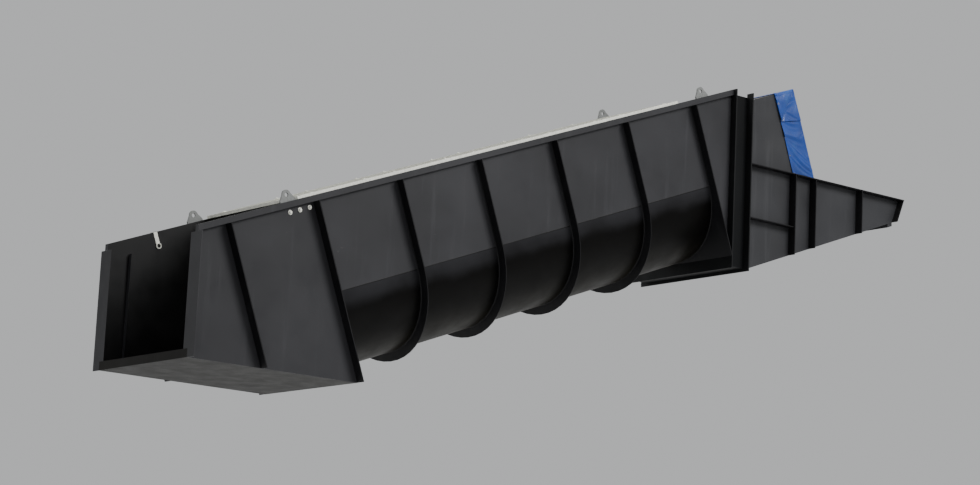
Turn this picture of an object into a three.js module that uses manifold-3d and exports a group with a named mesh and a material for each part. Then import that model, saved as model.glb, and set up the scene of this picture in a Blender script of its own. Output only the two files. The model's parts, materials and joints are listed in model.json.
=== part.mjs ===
// Archimedes screw turbine as one lifted-in steel unit: a four-flight screw in an inclined
// half-round trough, with a level outlet box at the low end and, above a plumb headwall
// flange, an inlet channel and the drive housing under its tarpaulin.
// Millimetres, +Z up. +X runs up the slope, +Y is the left side seen going up.
// The origin is the middle of the outlet sole, the level face that the low end stands on.

import * as THREE from "three";
import { mergeVertices } from "three/addons/utils/BufferGeometryUtils.js";
import Module from "manifold-3d";

const wasm = await Module();
wasm.setup();

// Driving dimensions

const INCLINE = THREE.MathUtils.degToRad(21);
const RIB_PITCH = 1500;
const OUTER_HALF = 1105;
const PLATE = 10;
const AXIS_X = -469;
const AXIS_Z = 654;
const RIB_TOP = 1281;
const WALL_TOP = 1365;
const RIB_DEPTH = 140;
const RIB_THICK = 15;
const TOP_RAIL_DEPTH = 60;

const OUTLET_END = -1389;
const SOLE_THICK = 12;
const OUTLET_LIP = 150;
const OUTLET_LIP_INSIDE = 100;
const GUIDE_FROM_END = 350;
const GUIDE_DEPTH = 60;
const SILL_HEIGHT = 120;
const SILL_THICK = 80;

const HEADWALL_X = 8347;
const INLET_FLANGE_X = 8707;
const FLANGE_THICK = 20;
const FLANGE_LIP = 120;
const FLANGE_TOP = 5500;
const FLANGE_BOTTOM = 2650;
const THROAT_INSET = 60;

const INLET_FLOOR = -1402;
const INLET_RIM = 4376;
const INLET_TIP = 12280;
const TIP_RAKE = 150;
const TIP_SILL_WIDTH = 100;
const TIP_SILL_DEPTH = 60;
const POSTS_X = [9708, 10169, 11251];
const RIM_DEPTH = 120;
const MID_RAIL_Z = 3500;

const HOUSING_TOP = 1130;
const HOUSING_FLOOR = -430;
const HOUSING_END = 11359;
const HOUSING_PLATE = 8;
const BULKHEAD_AT = 10320;
const BULKHEAD_THICK = 25;

const TARP_START = 10900;
const TARP_THICK = 12;
const TARP_OVER_RIM = 14;

const FLIGHTS = 4;
const FLIGHT_PITCH = 2300;
const FLIGHT_THICK = 12;
const FLIGHT_RADIUS = 1083;
const FLIGHTS_FROM = 1760;
const FLIGHTS_TO = 9300;
const TUBE_RADIUS = 540;
const TUBE_FROM = 1740;
const TUBE_TO = 9500;
const SHAFT_RADIUS = 110;
const SHAFT_FROM = 950;
const SHAFT_TO = 10300;
const BORE_RADIUS = 110.8;

const COVER_FROM = 1250;
const COVER_COUNT = 5;
const COVER_THICK = 40;
const COVER_SEAM = 2;
const COVER_BARS = 36;
const COVER_BAR_THICK = 4;
const COVER_EDGE_THICK = 6;
const LUG_POSITIONS = [1050, 9250];
const LUG_EYE_STEPS = 16;
const LUG = {
  footHalf: 130, footHigh: 25, eyeHigh: 95, headRadius: 70, headFrom: 0.06, eyeRadius: 30,
  fromWall: 17, thick: 25,
};

const GAP = 0.3;
const SLOPED_GAP = 0.9;
const FACE_CLEARANCE = 5;
const FLOOR_CLEARANCE = 2;
const FLIGHT_CLEARANCE = 0.5;
const ARC_STEPS = 24;
const TURN_STEPS = 36;

const INNER_HALF = OUTER_HALF - PLATE;
const FLANGE_HALF = OUTER_HALF + FLANGE_LIP;
const COS = Math.cos(INCLINE);
const SIN = Math.sin(INCLINE);

// Materials

function steel(color, roughness = 0.5) {
  return new THREE.MeshStandardMaterial({ color, roughness, metalness: 0.2 });
}

const wallPaint = steel(0x47474b);
const ribPaint = steel(0x1b1b1e);
const boxPaint = steel(0x4a4a4d);
const throatPaint = steel(0x2a2b2e);
const screwPaint = steel(0x2b2c2e, 0.6);
const galvanised = new THREE.MeshStandardMaterial({ color: 0xc9ccc6, roughness: 0.5, metalness: 0.7 });
const castIron = steel(0x3b4a52, 0.6);
const tarpaulin = new THREE.MeshStandardMaterial({ color: 0x2a5faf, roughness: 0.55, metalness: 0 });

// The unit stands upright, and the trough group in it lies along the screw's axis:
// its x is the distance u along the axis from rib 1, and its z the height h over the axis.

const unit = new THREE.Group();
unit.name = "screw_turbine";
const trough = new THREE.Group();
trough.position.set(AXIS_X, 0, AXIS_Z);
trough.rotation.y = -INCLINE;
unit.add(trough);

function add(parent, name, geometry, material) {
  const mesh = new THREE.Mesh(geometry, material);
  mesh.name = name;
  parent.add(mesh);
  return mesh;
}

// Places in the slope and in the upright frame

function slopePoint(u, h) {
  return [AXIS_X + u * COS - h * SIN, AXIS_Z + u * SIN + h * COS];
}

function alongAtPlumb(x, h) {
  return (x - AXIS_X + h * SIN) / COS;
}

function heightOfLine(x, h) {
  return AXIS_Z + (x - AXIS_X) * Math.tan(INCLINE) + h / COS;
}

function heightAtLevel(u, z) {
  return (z - AXIS_Z - u * SIN) / COS;
}

// Solid builders

function shapeOf(points, holes = []) {
  const shape = new THREE.Shape(points.map(([a, b]) => new THREE.Vector2(a, b)));
  for (const hole of holes) {
    shape.holes.push(new THREE.Path(hole.map(([a, b]) => new THREE.Vector2(a, b))));
  }
  return shape;
}

function extrude(shape, depth) {
  return new THREE.ExtrudeGeometry(shape, { depth, bevelEnabled: false, curveSegments: ARC_STEPS });
}

// A plate standing in the XZ plane, between two values of y
function sidePlate(points, yLow, yHigh, holes = []) {
  const geometry = extrude(shapeOf(points, holes), yHigh - yLow);
  geometry.rotateX(Math.PI / 2);
  geometry.translate(0, yHigh, 0);
  return geometry;
}

// A plate standing across the unit: its outline is in y and z, between two values of x
function crossPlate(points, xLow, xHigh) {
  return prism(points, () => xLow, () => xHigh);
}

// A section in y and z carried along x, with ends that may be planes tilted about y
function prism(points, start, end, holes = []) {
  const geometry = extrude(shapeOf(points, holes), 1);
  const place = geometry.attributes.position;
  for (let i = 0; i < place.count; i += 1) {
    const y = place.getX(i);
    const z = place.getY(i);
    const x = place.getZ(i) > 0.5 ? end(z) : start(z);
    place.setXYZ(i, x, y, z);
  }
  geometry.computeVertexNormals();
  return geometry;
}

function box(xLow, xHigh, yLow, yHigh, zLow, zHigh) {
  const geometry = new THREE.BoxGeometry(xHigh - xLow, yHigh - yLow, zHigh - zLow);
  geometry.translate((xLow + xHigh) / 2, (yLow + yHigh) / 2, (zLow + zHigh) / 2);
  return geometry;
}

function rectangle(aLow, aHigh, bLow, bHigh) {
  return [[aLow, bLow], [aHigh, bLow], [aHigh, bHigh], [aLow, bHigh]];
}

// Points of an arc under the axis, from the right wall round to the left wall
function arc(radius, fromTurn = 0, toTurn = 1) {
  const points = [];
  const steps = Math.round(ARC_STEPS * (toTurn - fromTurn));
  for (let i = 0; i <= steps; i += 1) {
    const angle = Math.PI * (1 + fromTurn + ((toTurn - fromTurn) * i) / steps);
    points.push([radius * Math.cos(angle), radius * Math.sin(angle)]);
  }
  return points;
}

// A U with straight sides above the axis and a half round below it
function uSection(inner, outer, top) {
  return [[-outer, top], ...arc(outer), [outer, top], [inner, top], ...arc(inner).reverse(), [-inner, top]];
}

// A lathe profile of [radius, u] points turned about the screw's axis
function turned(profile) {
  const points = profile.map(([radius, u]) => new THREE.Vector2(radius, u));
  const geometry = new THREE.LatheGeometry(points, TURN_STEPS);
  geometry.rotateZ(-Math.PI / 2);
  return geometry;
}

function indexed(vertices, faces) {
  const geometry = new THREE.BufferGeometry();
  geometry.setAttribute("position", new THREE.Float32BufferAttribute(vertices, 3));
  geometry.setIndex(faces);
  geometry.computeVertexNormals();
  return geometry;
}

// A closed slab over a flat triangulation, with its outer loop anticlockwise and its holes clockwise
function slab(points, triangles, loops, zLow, zHigh) {
  const count = points.length;
  const vertices = [zLow, zHigh].flatMap((z) => points.flatMap(([x, y]) => [x, y, z]));
  const faces = [];
  for (const [a, b, c] of triangles) {
    faces.push(a + count, b + count, c + count, c, b, a);
  }
  for (const loop of loops) {
    loop.forEach((a, i) => {
      const b = loop[(i + 1) % loop.length];
      faces.push(a, b, b + count, a, b + count, a + count);
    });
  }
  return indexed(vertices, faces);
}

function toSolid(geometry) {
  const bare = geometry.clone();
  bare.deleteAttribute("normal");
  bare.deleteAttribute("uv");
  const merged = mergeVertices(bare, 0.001);
  const vertProperties = new Float32Array(merged.attributes.position.array);
  const triVerts = new Uint32Array(merged.index.array);
  return new wasm.Manifold(new wasm.Mesh({ numProp: 3, vertProperties, triVerts }));
}

function fromSolid(solid) {
  const mesh = solid.getMesh();
  return indexed([...mesh.vertProperties], [...mesh.triVerts]);
}

function fuse(geometries) {
  const solids = geometries.map(toSolid);
  return fromSolid(solids.reduce((whole, solid) => whole.add(solid)));
}

// A piece made on the right side is made again on the left side
function onBothSides(make) {
  make("right", (yNear, yFar) => [-yFar, -yNear]);
  make("left", (yNear, yFar) => [yNear, yFar]);
}

// Outlet box: level sole with a raised sill, rib 1, and two walls that each have a lip at the
// mouth, outside and inside, and a guide bar for stop logs

const outletBulkheadFace = RIB_PITCH - RIB_THICK / 2;

function soleEnd(z) {
  return slopePoint(outletBulkheadFace - GAP, heightAtLevel(outletBulkheadFace - GAP, z))[0];
}

function buildOutlet() {
  const inside = INNER_HALF - GAP;
  const sillBack = OUTLET_END + SILL_THICK;
  const sole = [
    [OUTLET_END, 0], [soleEnd(0), 0], [soleEnd(SOLE_THICK), SOLE_THICK],
    [sillBack, SOLE_THICK], [sillBack, SILL_HEIGHT], [OUTLET_END, SILL_HEIGHT],
  ];
  add(unit, "outlet_sole", sidePlate(sole, -inside, inside), boxPaint);

  const topLow = slopePoint(alongAtPlumb(OUTLET_END, WALL_TOP), WALL_TOP);
  const topHigh = slopePoint(outletBulkheadFace - GAP, WALL_TOP);
  const outline = [[OUTLET_END, 0], [soleEnd(0), 0], topHigh, topLow];
  const lipTop = slopePoint(alongAtPlumb(OUTLET_END, RIB_TOP), RIB_TOP)[1] - GAP;
  onBothSides((side, span) => {
    const wall = sidePlate(outline, ...span(INNER_HALF, OUTER_HALF));
    const mouth = OUTLET_END + RIB_THICK;
    const middle = INNER_HALF + PLATE / 2;
    const lip = box(OUTLET_END, mouth, ...span(INNER_HALF, OUTER_HALF + OUTLET_LIP), 0, lipTop);
    const insideSpan = span(INNER_HALF - OUTLET_LIP_INSIDE, middle);
    const insideLip = box(OUTLET_END, mouth, ...insideSpan, SILL_HEIGHT + GAP, lipTop);
    const guideFrom = OUTLET_END + GUIDE_FROM_END;
    const guideSpan = span(INNER_HALF - GUIDE_DEPTH, middle);
    const guide = box(guideFrom, guideFrom + RIB_THICK, ...guideSpan, SOLE_THICK + GAP, lipTop);
    add(unit, `outlet_wall_${side}`, fuse([wall, lip, insideLip, guide]), wallPaint);
    const foot = heightAtLevel(RIB_THICK / 2, FLOOR_CLEARANCE);
    const [ribLow, ribHigh] = span(OUTER_HALF + GAP, OUTER_HALF + RIB_DEPTH);
    const rib = box(-RIB_THICK / 2, RIB_THICK / 2, ribLow, ribHigh, foot, RIB_TOP - GAP);
    add(trough, `rib_1_${side}`, rib, ribPaint);
  });
}

// The bulkhead at rib 2 closes the box round the end of the half-round trough

function buildOutletBulkhead() {
  const outer = OUTER_HALF + RIB_DEPTH;
  const foot = heightAtLevel(outletBulkheadFace, FLOOR_CLEARANCE);
  const inner = arc(INNER_HALF).reverse();
  const top = RIB_TOP - GAP;
  const outline = [[-outer, top], [-outer, foot], [outer, foot], [outer, top]];
  const section = [...outline, [INNER_HALF, top], ...inner, [-INNER_HALF, top]];
  const from = () => outletBulkheadFace;
  const to = () => outletBulkheadFace + RIB_THICK;
  add(trough, "rib_2_bulkhead", prism(section, from, to), ribPaint);
}

// Trough: half-round bottom up to rib 7, flat walls, top rails and ribs 3 to 7. Between rib 7 and
// the headwall the walls go straight down, so the water way is square there.

const troughFrom = RIB_PITCH + RIB_THICK / 2 + GAP;
const lastRib = RIB_PITCH * 6;
const troughTo = lastRib + RIB_THICK / 2;
const waySill = heightOfLine(HEADWALL_X, -INNER_HALF);
const toHeadwall = (h) => alongAtPlumb(HEADWALL_X + FLANGE_THICK, h);

// The height at which a line across the slope comes down to the clearance before the headwall
function footBeforeHeadwall(u) {
  return (AXIS_X + u * COS - (HEADWALL_X - FACE_CLEARANCE)) / SIN;
}

// Places in the slope frame of a point given upright
function slopePlace(x, z) {
  const along = (x - AXIS_X) * COS + (z - AXIS_Z) * SIN;
  const height = (z - AXIS_Z) * COS - (x - AXIS_X) * SIN;
  return [along, height];
}

function troughWallOutline() {
  const boxFrom = troughTo + GAP;
  const headwallBack = HEADWALL_X + FLANGE_THICK;
  return [
    [troughFrom, GAP], [boxFrom, GAP], [boxFrom, footBeforeHeadwall(boxFrom)],
    slopePlace(HEADWALL_X - FACE_CLEARANCE, waySill + SLOPED_GAP),
    slopePlace(headwallBack, waySill + SLOPED_GAP),
    [alongAtPlumb(headwallBack, WALL_TOP), WALL_TOP], [troughFrom, WALL_TOP],
  ];
}

function buildTrough() {
  const halfRound = [...arc(OUTER_HALF), ...arc(INNER_HALF).reverse()];
  add(trough, "trough_bottom", prism(halfRound, () => troughFrom, () => troughTo), wallPaint);
  onBothSides((side, span) => {
    const wall = sidePlate(troughWallOutline(), ...span(INNER_HALF, OUTER_HALF));
    add(trough, `trough_wall_${side}`, wall, wallPaint);
    const rail = rectangle(...span(OUTER_HALF + GAP, OUTER_HALF + TOP_RAIL_DEPTH), RIB_TOP, WALL_TOP);
    const railFrom = (h) => alongAtPlumb(OUTLET_END, h);
    add(trough, `top_rail_${side}`, prism(rail, railFrom, toHeadwall), wallPaint);
  });
  for (let number = 3; number <= 6; number += 1) {
    const section = uSection(OUTER_HALF + GAP, OUTER_HALF + RIB_DEPTH, RIB_TOP - GAP);
    const centre = RIB_PITCH * (number - 1);
    const from = () => centre - RIB_THICK / 2;
    const to = () => centre + RIB_THICK / 2;
    add(trough, `rib_${number}`, prism(section, from, to), ribPaint);
  }
  buildLastRib();
}

// Rib 7 is a bulkhead round the end of the half round, down to where it meets the headwall
function buildLastRib() {
  const inner = OUTER_HALF + GAP;
  const outer = OUTER_HALF + RIB_DEPTH;
  const top = RIB_TOP - GAP;
  const foot = footBeforeHeadwall(troughTo);
  const outline = [[-outer, top], [-outer, foot], [outer, foot], [outer, top]];
  const section = [...outline, [inner, top], ...arc(inner).reverse(), [-inner, top]];
  add(trough, "rib_7_bulkhead", prism(section, () => lastRib - RIB_THICK / 2, () => troughTo), ribPaint);
}

// Plumb headwall flange, throat and inlet flange

// The walls and their top rails pass through the headwall flange, which closes round them
function troughWay() {
  const wall = OUTER_HALF + SLOPED_GAP;
  const rail = OUTER_HALF + TOP_RAIL_DEPTH + SLOPED_GAP;
  const step = RIB_TOP - SLOPED_GAP;
  const above = WALL_TOP + RIB_DEPTH;
  const below = -OUTER_HALF - RIB_DEPTH;
  const right = [[-rail, above], [-rail, step], [-wall, step], [-wall, below]];
  const section = [...right, [wall, below], [wall, step], [rail, step], [rail, above]];
  const way = prism(section, () => 5 * RIB_PITCH, () => 7 * RIB_PITCH);
  trough.updateMatrix();
  return toSolid(way.applyMatrix4(trough.matrix));
}

function buildHeadwall() {
  const plate = rectangle(-FLANGE_HALF, FLANGE_HALF, FLANGE_BOTTOM, FLANGE_TOP);
  const headwall = toSolid(crossPlate(plate, HEADWALL_X, HEADWALL_X + FLANGE_THICK));
  const sillOutline = rectangle(-FLANGE_HALF, FLANGE_HALF, FLANGE_BOTTOM, waySill);
  const sill = toSolid(crossPlate(sillOutline, HEADWALL_X, HEADWALL_X + FLANGE_THICK));
  add(unit, "headwall_flange", fromSolid(headwall.subtract(troughWay()).add(sill)), ribPaint);

  const floorTop = FLANGE_BOTTOM + THROAT_INSET;
  const outline = [
    [-FLANGE_HALF, FLANGE_TOP], [-FLANGE_HALF, FLANGE_BOTTOM], [FLANGE_HALF, FLANGE_BOTTOM],
    [FLANGE_HALF, FLANGE_TOP], [INNER_HALF, FLANGE_TOP], [INNER_HALF, floorTop],
    [-INNER_HALF, floorTop], [-INNER_HALF, FLANGE_TOP],
  ];
  const inletFlange = crossPlate(outline, INLET_FLANGE_X, INLET_FLANGE_X + FLANGE_THICK);
  add(unit, "inlet_flange", inletFlange, ribPaint);

  const throatTop = FLANGE_TOP - THROAT_INSET;
  const throat = [
    [-OUTER_HALF, throatTop], [-OUTER_HALF, floorTop - PLATE], [OUTER_HALF, floorTop - PLATE],
    [OUTER_HALF, throatTop], [INNER_HALF, throatTop], [INNER_HALF, floorTop],
    [-INNER_HALF, floorTop], [-INNER_HALF, throatTop],
  ];
  const from = HEADWALL_X + FLANGE_THICK + GAP;
  add(unit, "throat", crossPlate(throat, from, INLET_FLANGE_X - GAP), throatPaint);
}

// Inlet channel: floor parallel to the screw, level rim, plumb posts and a raked tip

const inletFrom = INLET_FLANGE_X + FLANGE_THICK + GAP;

function inletFloorAt(x) {
  return heightOfLine(x, INLET_FLOOR);
}

function buildInlet() {
  const tipFoot = INLET_TIP - TIP_RAKE;
  const outline = [
    [inletFrom, inletFloorAt(inletFrom)], [tipFoot, inletFloorAt(tipFoot)],
    [INLET_TIP, INLET_RIM], [inletFrom, INLET_RIM],
  ];
  const thick = PLATE / COS;
  const sillFrom = tipFoot - TIP_SILL_WIDTH;
  const floor = [
    [inletFrom, inletFloorAt(inletFrom)], [sillFrom, inletFloorAt(sillFrom)],
    [sillFrom, inletFloorAt(sillFrom) - TIP_SILL_DEPTH], [tipFoot, inletFloorAt(tipFoot) - TIP_SILL_DEPTH],
    [tipFoot, inletFloorAt(tipFoot) + thick], [inletFrom, inletFloorAt(inletFrom) + thick],
  ];
  const inside = INNER_HALF - GAP;
  add(unit, "inlet_floor", sidePlate(floor, -inside, inside), boxPaint);
  onBothSides((side, span) => {
    add(unit, `inlet_wall_${side}`, sidePlate(outline, ...span(INNER_HALF, OUTER_HALF)), boxPaint);
    add(unit, `inlet_frame_${side}`, inletFrame(span, tipFoot), ribPaint);
  });
}

// Rim flange, mid rail, three plumb posts and the raked tip post, welded into one frame
function inletFrame(span, tipFoot) {
  const [rimLow, rimHigh] = span(OUTER_HALF + GAP, OUTER_HALF + RIM_DEPTH);
  const [postLow, postHigh] = span(OUTER_HALF + GAP, OUTER_HALF + RIB_DEPTH);
  const rim = box(inletFrom, INLET_TIP, rimLow, rimHigh, INLET_RIM - RIB_THICK, INLET_RIM);
  const rail = box(inletFrom, POSTS_X[0], rimLow, rimHigh, MID_RAIL_Z, MID_RAIL_Z + RIB_THICK);
  const head = INLET_RIM - RIB_THICK / 2;
  const posts = POSTS_X.map((x) => {
    const foot = inletFloorAt(x + RIB_THICK / 2);
    return box(x - RIB_THICK / 2, x + RIB_THICK / 2, postLow, postHigh, foot, head);
  });
  const tipPost = [
    [tipFoot - RIB_THICK, inletFloorAt(tipFoot)], [tipFoot, inletFloorAt(tipFoot)],
    [INLET_TIP, INLET_RIM], [INLET_TIP - RIB_THICK, INLET_RIM],
  ];
  return fuse([rim, rail, ...posts, sidePlate(tipPost, rimLow, rimHigh)]);
}

// Drive housing: a closed box along the screw's axis, above the water way

function buildHousing() {
  const outer = INNER_HALF - GAP;
  const inner = outer - HOUSING_PLATE;
  const underLid = HOUSING_TOP - HOUSING_PLATE;
  const shell = [
    [-outer, HOUSING_FLOOR], [-inner, HOUSING_FLOOR], [-inner, underLid], [inner, underLid],
    [inner, HOUSING_FLOOR], [outer, HOUSING_FLOOR], [outer, HOUSING_TOP], [-outer, HOUSING_TOP],
  ];
  const plumb = (h) => alongAtPlumb(inletFrom, h);
  add(trough, "housing_shell", prism(shell, plumb, () => HOUSING_END), boxPaint);

  const top = underLid - GAP;
  const wallTo = BULKHEAD_AT + BULKHEAD_THICK;
  const endFrom = HOUSING_END - HOUSING_PLATE;
  const panTop = HOUSING_FLOOR + HOUSING_PLATE;
  const tray = [
    [BULKHEAD_AT, HOUSING_FLOOR], [HOUSING_END, HOUSING_FLOOR], [HOUSING_END, top],
    [endFrom, top], [endFrom, panTop], [wallTo, panTop], [wallTo, top], [BULKHEAD_AT, top],
  ];
  add(trough, "housing_tray", sidePlate(tray, -inner + GAP, inner - GAP), boxPaint);
}

// Tarpaulin: a cap pulled over the housing's upper end, down to the inlet rim

function buildTarpaulin() {
  const top = HOUSING_TOP + GAP;
  const end = HOUSING_END + GAP;
  const hem = INLET_RIM + TARP_OVER_RIM;
  const hemFrom = slopePoint(TARP_START, heightAtLevel(TARP_START, hem));
  const outerEnd = end + TARP_THICK;
  const outerTop = top + TARP_THICK;
  const outline = [
    hemFrom, slopePoint(outerEnd, heightAtLevel(outerEnd, hem)),
    slopePoint(outerEnd, outerTop), slopePoint(TARP_START, outerTop),
  ];
  const under = 400;
  const hollow = [
    slopePoint(TARP_START - under, -under), slopePoint(end, -under),
    slopePoint(end, top), slopePoint(TARP_START - under, top),
  ];
  const outerHalf = INNER_HALF + TARP_THICK;
  const cap = toSolid(sidePlate(outline, -outerHalf, outerHalf));
  const room = toSolid(sidePlate(hollow, -INNER_HALF, INNER_HALF));
  add(unit, "tarpaulin", fromSolid(cap.subtract(room)), tarpaulin);
}

// Bearings: a crossbeam and block at the low end, a flanged housing at the bulkhead

const LOW_BEAM = { from: 960, to: 1180, bottom: -360, top: -170 };
const LOW_BLOCK = { inset: 20, footHalf: 280, footHigh: 50, slant: 10, half: 190, shoulder: 40, crown: 150 };
const HIGH_BEARING = { depth: 200, nose: 200, body: 230, chamfer: 30, flange: 330, flangeThick: 30 };

function lowerBlockOutline() {
  const { footHalf, footHigh, slant, half, shoulder, crown } = LOW_BLOCK;
  const foot = LOW_BEAM.top + GAP;
  const neck = foot + footHigh + slant;
  const right = [[footHalf, foot], [footHalf, foot + footHigh], [half, neck], [half, shoulder]];
  const left = [[-half, shoulder], [-half, neck], [-footHalf, foot + footHigh]];
  const steps = ARC_STEPS / 2;
  const over = [];
  for (let i = 1; i < steps; i += 1) {
    const angle = (Math.PI * i) / steps;
    over.push([half * Math.cos(angle), shoulder + crown * Math.sin(angle)]);
  }
  return [[-footHalf, foot], ...right, ...over, ...left];
}

function ring(radius, steps) {
  const points = [];
  for (let i = 0; i < steps; i += 1) {
    const angle = (2 * Math.PI * i) / steps;
    points.push([radius * Math.cos(angle), radius * Math.sin(angle)]);
  }
  return points;
}

function buildBearings() {
  const inside = INNER_HALF - GAP;
  const beam = box(LOW_BEAM.from, LOW_BEAM.to, -inside, inside, LOW_BEAM.bottom, LOW_BEAM.top);
  add(trough, "lower_bearing_beam", beam, ribPaint);
  const from = () => LOW_BEAM.from + LOW_BLOCK.inset;
  const to = () => LOW_BEAM.to - LOW_BLOCK.inset;
  const bore = ring(BORE_RADIUS, TURN_STEPS);
  add(trough, "lower_bearing", prism(lowerBlockOutline(), from, to, [bore]), castIron);

  const { depth, nose, body, chamfer, flange, flangeThick } = HIGH_BEARING;
  const face = BULKHEAD_AT - GAP;
  const front = face - depth;
  const flangeFrom = face - flangeThick;
  const profile = [
    [BORE_RADIUS, front], [nose, front], [body, front + chamfer], [body, flangeFrom],
    [flange, flangeFrom], [flange, face], [BORE_RADIUS, face], [BORE_RADIUS, front],
  ];
  add(trough, "upper_bearing", turned(profile), castIron);
}

// Screw: a tube with its stub shafts, and four helical flights

function buildScrew() {
  const core = turned([
    [0, SHAFT_FROM], [SHAFT_RADIUS, SHAFT_FROM], [SHAFT_RADIUS, TUBE_FROM], [TUBE_RADIUS, TUBE_FROM],
    [TUBE_RADIUS, TUBE_TO], [SHAFT_RADIUS, TUBE_TO], [SHAFT_RADIUS, SHAFT_TO], [0, SHAFT_TO],
  ]);
  add(trough, "screw_tube", core, screwPaint);
  for (let number = 1; number <= FLIGHTS; number += 1) {
    add(trough, `flight_${number}`, flight((number - 1) / FLIGHTS), screwPaint);
  }
}

// One flight: a helical plate from the tube to the tip, stepped with the tube's sides
function flight(startTurn) {
  const inner = TUBE_RADIUS + FLIGHT_CLEARANCE;
  const turns = (FLIGHTS_TO - FLIGHTS_FROM - FLIGHT_THICK) / FLIGHT_PITCH;
  const steps = Math.floor(turns * TURN_STEPS);
  const vertices = [];
  const faces = [];
  for (let i = 0; i <= steps; i += 1) {
    const angle = 2 * Math.PI * (startTurn + i / TURN_STEPS);
    const u = FLIGHTS_FROM + (FLIGHT_PITCH * i) / TURN_STEPS;
    for (const [radius, at] of rectangle(inner, FLIGHT_RADIUS, u, u + FLIGHT_THICK)) {
      vertices.push(at, radius * Math.cos(angle), radius * Math.sin(angle));
    }
  }
  for (let i = 0; i < steps; i += 1) {
    for (let side = 0; side < 4; side += 1) {
      const a = 4 * i + side;
      const b = 4 * i + ((side + 1) % 4);
      faces.push(a, b + 4, b, a, a + 4, b + 4);
    }
  }
  const last = 4 * steps;
  faces.push(0, 1, 2, 0, 2, 3, last, last + 2, last + 1, last, last + 3, last + 2);
  return indexed(vertices, faces);
}

// Grating covers over the middle bays, and the lifting lugs outside them

// One grating: bearing bars across the trough, with an edge bar along each side
function grating(from, to) {
  const foot = WALL_TOP + GAP;
  const pitch = (to - from - COVER_BAR_THICK) / COVER_BARS;
  const cuts = [];
  for (let i = 0; i <= COVER_BARS; i += 1) {
    cuts.push(from + pitch * i, from + pitch * i + COVER_BAR_THICK);
  }
  const slotEnd = OUTER_HALF - COVER_EDGE_THICK;
  const onRight = cuts.map((u) => [u, -slotEnd]);
  const onLeft = cuts.map((u) => [u, slotEnd]);
  const corners = [[from, -OUTER_HALF], [to, -OUTER_HALF], [to, OUTER_HALF], [from, OUTER_HALF]];
  const left = (i) => cuts.length + i;
  const [lowRight, highRight, highLeft, lowLeft] = [0, 1, 2, 3].map((i) => 2 * cuts.length + i);
  const last = cuts.length - 1;
  const middle = cuts.length / 2;
  const triangles = [[lowRight, highRight, middle], [highLeft, lowLeft, left(middle)]];
  const slots = [];
  for (let i = 0; i < last; i += 1) {
    const inLowHalf = i < middle;
    triangles.push([inLowHalf ? lowRight : highRight, i + 1, i]);
    triangles.push([inLowHalf ? lowLeft : highLeft, left(i), left(i + 1)]);
    if (i % 2 === 0) {
      triangles.push([i, i + 1, left(i + 1)], [i, left(i + 1), left(i)]);
    } else {
      slots.push([i, left(i), left(i + 1), i + 1]);
    }
  }
  const rim = [lowRight, highRight, last, left(last), highLeft, lowLeft, left(0), 0];
  const points = [...onRight, ...onLeft, ...corners];
  return slab(points, triangles, [rim, ...slots], foot, foot + COVER_THICK);
}

function buildCovers() {
  for (let i = 0; i < COVER_COUNT; i += 1) {
    const from = COVER_FROM + RIB_PITCH * i + COVER_SEAM / 2;
    const to = COVER_FROM + RIB_PITCH * (i + 1) - COVER_SEAM / 2;
    add(trough, `cover_${i + 1}`, grating(from, to), galvanised);
  }
}

function lugOutline(u) {
  const { footHalf, footHigh, eyeHigh, headRadius, headFrom, eyeRadius } = LUG;
  const foot = WALL_TOP + GAP;
  const eye = foot + eyeHigh;
  const head = [];
  for (let i = 0; i <= ARC_STEPS / 2; i += 1) {
    const angle = Math.PI * (headFrom + ((1 - 2 * headFrom) * i) / (ARC_STEPS / 2));
    head.push([u + headRadius * Math.cos(angle), eye + headRadius * Math.sin(angle)]);
  }
  const low = [[u - footHalf, foot], [u + footHalf, foot], [u + footHalf, foot + footHigh]];
  const hole = ring(eyeRadius, LUG_EYE_STEPS).map(([a, b]) => [u + a, eye + b]);
  return { points: [...low, ...head, [u - footHalf, foot + footHigh]], hole };
}

function buildLugs() {
  const ends = ["lower", "upper"];
  LUG_POSITIONS.forEach((u, i) => {
    const { points, hole } = lugOutline(u);
    onBothSides((side, span) => {
      const [low, high] = span(OUTER_HALF + LUG.fromWall, OUTER_HALF + LUG.fromWall + LUG.thick);
      add(trough, `lug_${ends[i]}_${side}`, sidePlate(points, low, high, [hole]), galvanised);
    });
  });
}

buildOutlet();
buildOutletBulkhead();
buildTrough();
buildHeadwall();
buildInlet();
buildHousing();
buildTarpaulin();
buildBearings();
buildScrew();
buildCovers();
buildLugs();

export default unit;
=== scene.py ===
import json
import math

import bpy
from mathutils import Matrix, Vector, noise


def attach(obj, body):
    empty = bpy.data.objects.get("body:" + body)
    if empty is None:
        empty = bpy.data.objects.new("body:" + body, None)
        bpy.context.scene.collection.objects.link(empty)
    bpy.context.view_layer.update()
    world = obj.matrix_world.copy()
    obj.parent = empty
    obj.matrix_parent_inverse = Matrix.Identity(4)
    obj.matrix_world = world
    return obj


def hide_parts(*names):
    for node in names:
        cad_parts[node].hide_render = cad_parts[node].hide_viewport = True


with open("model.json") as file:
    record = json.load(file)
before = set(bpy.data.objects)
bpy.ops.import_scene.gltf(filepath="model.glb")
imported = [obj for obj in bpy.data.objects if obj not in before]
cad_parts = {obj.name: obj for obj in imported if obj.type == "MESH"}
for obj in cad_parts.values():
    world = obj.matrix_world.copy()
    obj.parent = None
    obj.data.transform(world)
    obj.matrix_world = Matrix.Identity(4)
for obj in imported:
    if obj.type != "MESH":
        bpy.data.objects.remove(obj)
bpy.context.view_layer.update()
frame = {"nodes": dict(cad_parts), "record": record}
nodes = frame["nodes"]

# The slope frame of the part, in metres: u runs along the screw's axis from rib 1, h is the
# height over the axis, and y is the same as the part's.

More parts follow.
